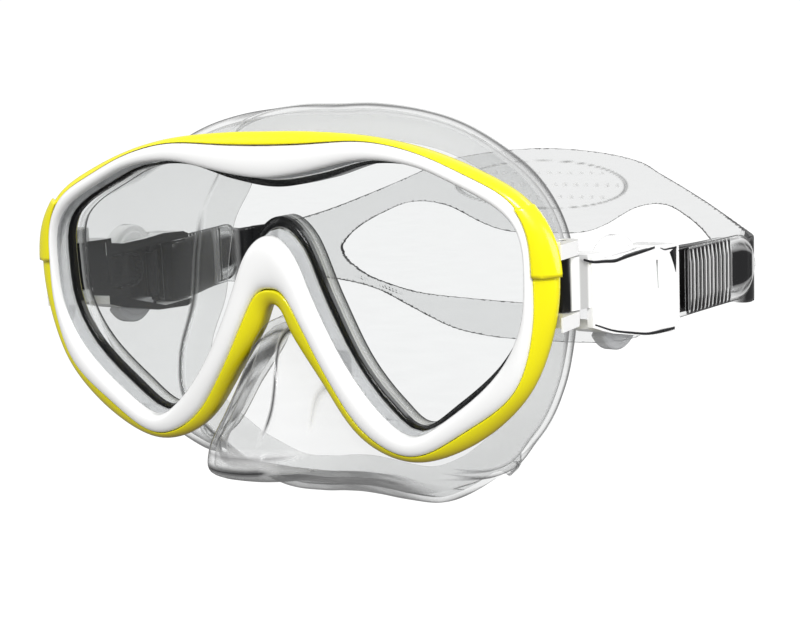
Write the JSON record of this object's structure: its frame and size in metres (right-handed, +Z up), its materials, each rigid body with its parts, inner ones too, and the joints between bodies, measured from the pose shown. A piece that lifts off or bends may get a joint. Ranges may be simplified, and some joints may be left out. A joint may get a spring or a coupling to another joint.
{
  "type": "snorkel mask",
  "caption": "Single-lens dive mask with a clear silicone skirt and nose pocket, a split head strap and squeeze buckles that swing at the frame's sides.",
  "frame": {"origin": "middle of the face seal, on the mask's plane of symmetry", "axes": "-Y is the way the wearer looks, +Y runs back past the head, +X is the wearer's left, +Z is up"},
  "size_m": [0.1918, 0.1985, 0.1164],
  "materials": {
    "lens_glass": "clear tempered glass",
    "seal_rubber": "satin light grey",
    "white_gloss": "glossy white",
    "yellow_gloss": "glossy lemon yellow",
    "clear_silicone": "clear glossy silicone",
    "button_clear": "translucent grey",
    "dark_plastic": "satin dark",
    "pin_steel": "stainless"
  },
  "bodies": {
    "root": {"lens": "lens_glass", "lens_seal": "seal_rubber", "bezel": "white_gloss", "frame": "yellow_gloss", "skirt": "clear_silicone", "strap_back": "clear_silicone", "side_cap_left": "yellow_gloss", "side_cap_right": "yellow_gloss", "hinge_bracket_left": "white_gloss", "hinge_bracket_right": "white_gloss", "hinge_pin_left": "pin_steel", "hinge_pin_right": "pin_steel"},
    "buckle_left": {"buckle_body_left": "white_gloss", "release_spring_left": "pin_steel", "pawl_pin_left": "pin_steel", "roller_axle_left": "pin_steel", "strap_end_left": "clear_silicone"},
    "top_button_left": {"button_top_left": "button_clear"},
    "bottom_button_left": {"button_bottom_left": "button_clear"},
    "pawl_left": {"ratchet_pawl_left": "dark_plastic"},
    "roller_left": {"strap_roller_left": "dark_plastic"},
    "buckle_right": {"buckle_body_right": "white_gloss", "release_spring_right": "pin_steel", "pawl_pin_right": "pin_steel", "roller_axle_right": "pin_steel", "strap_end_right": "clear_silicone"},
    "top_button_right": {"button_top_right": "button_clear"},
    "bottom_button_right": {"button_bottom_right": "button_clear"},
    "pawl_right": {"ratchet_pawl_right": "dark_plastic"},
    "roller_right": {"strap_roller_right": "dark_plastic"}
  },
  "joints": [
    {"name": "buckle_swing_left", "type": "hinge", "parent": "root", "child": "buckle_left", "pos_m": [0.0796, -0.0322, 0], "axis": [0, 0, -1], "range_deg": [-5, 30]},
    {"name": "top_press_left", "type": "slide", "parent": "buckle_left", "child": "top_button_left", "axis": [0, 0, -1], "range_m": [0, 0.002], "stiffness_N_per_m": 1200, "springref_m": -0.001, "deforming": ["release_spring_left"]},
    {"name": "bottom_press_left", "type": "slide", "parent": "buckle_left", "child": "bottom_button_left", "axis": [0, 0, 1], "range_m": [0, 0.002], "stiffness_N_per_m": 1200, "springref_m": -0.001},
    {"name": "pawl_lift_left", "type": "hinge", "parent": "buckle_left", "child": "pawl_left", "pos_m": [0.08384, 0.00858, 0], "axis": [0, 0, -1], "range_deg": [0, 6]},
    {"name": "roller_turn_left", "type": "hinge", "parent": "buckle_left", "child": "roller_left", "pos_m": [0.08365, 0.01764, 0], "axis": [0, 0, 1], "continuous": true},
    {"name": "buckle_swing_right", "type": "hinge", "parent": "root", "child": "buckle_right", "pos_m": [-0.0796, -0.0322, 0], "axis": [0, 0, 1], "range_deg": [-5, 30]},
    {"name": "top_press_right", "type": "slide", "parent": "buckle_right", "child": "top_button_right", "axis": [0, 0, -1], "range_m": [0, 0.002], "stiffness_N_per_m": 1200, "springref_m": -0.001, "deforming": ["release_spring_right"]},
    {"name": "bottom_press_right", "type": "slide", "parent": "buckle_right", "child": "bottom_button_right", "axis": [0, 0, 1], "range_m": [0, 0.002], "stiffness_N_per_m": 1200, "springref_m": -0.001},
    {"name": "pawl_lift_right", "type": "hinge", "parent": "buckle_right", "child": "pawl_right", "pos_m": [-0.08384, 0.00858, 0], "axis": [0, 0, 1], "range_deg": [0, 6]},
    {"name": "roller_turn_right", "type": "hinge", "parent": "buckle_right", "child": "roller_right", "pos_m": [-0.08365, 0.01764, 0], "axis": [0, 0, 1], "continuous": true}
  ],
  "couplings": [
    {"joint": "pawl_lift_left", "follows": "top_press_left", "rad_per_m": 52.3},
    {"joint": "pawl_lift_right", "follows": "top_press_right", "rad_per_m": 52.3}
  ]
}
